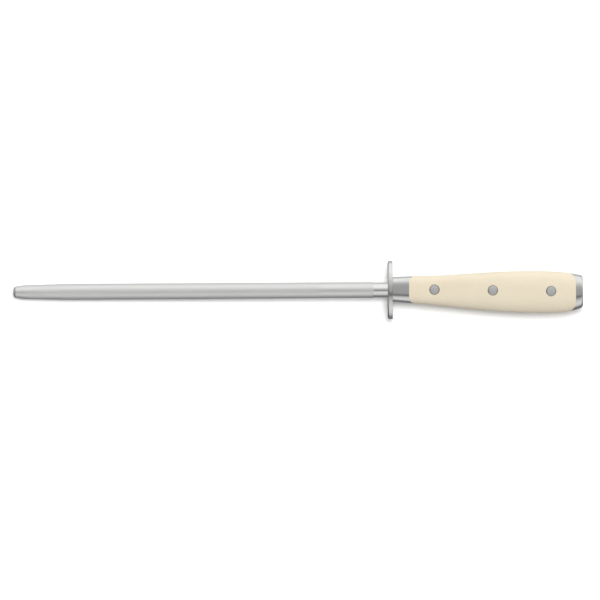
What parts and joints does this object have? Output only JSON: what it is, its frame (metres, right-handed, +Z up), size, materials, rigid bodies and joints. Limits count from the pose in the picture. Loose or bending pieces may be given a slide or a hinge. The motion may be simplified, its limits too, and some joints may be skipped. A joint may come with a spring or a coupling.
{
  "type": "knife sharpening steel",
  "caption": "Butcher's honing steel: a long round ribbed rod, an oval finger guard, a steel bolster and a riveted full-tang handle with cream scales and an end cap.",
  "frame": {"origin": "on the rod's axis, at the finger guard's face on the rod's side", "axes": "+X along the rod's axis from the guard towards the handle, so the tip is at -X; +Y towards the handle's spine; +Z up through the handle's thickness"},
  "size_m": [0.3956, 0.0406, 0.022],
  "materials": {
    "rod_chrome": "hard chrome over finely ribbed steel, with a polished neck",
    "polished_steel": "polished stainless steel",
    "tang_steel": "satin-ground stainless steel",
    "cream_scale": "cream acetal with a satin polish",
    "rivet_steel": "ground flush and polished"
  },
  "bodies": {
    "root": {"steel_rod": "rod_chrome", "finger_guard": "polished_steel", "front_bolster": "polished_steel", "tang": "tang_steel", "upper_scale": "cream_scale", "lower_scale": "cream_scale", "end_cap": "polished_steel", "front_rivet_pin": "rivet_steel", "middle_rivet_pin": "rivet_steel", "rear_rivet_pin": "rivet_steel", "front_rivet_sleeve": "rivet_steel", "middle_rivet_sleeve": "rivet_steel", "rear_rivet_sleeve": "rivet_steel"}
  },
  "joints": []
}
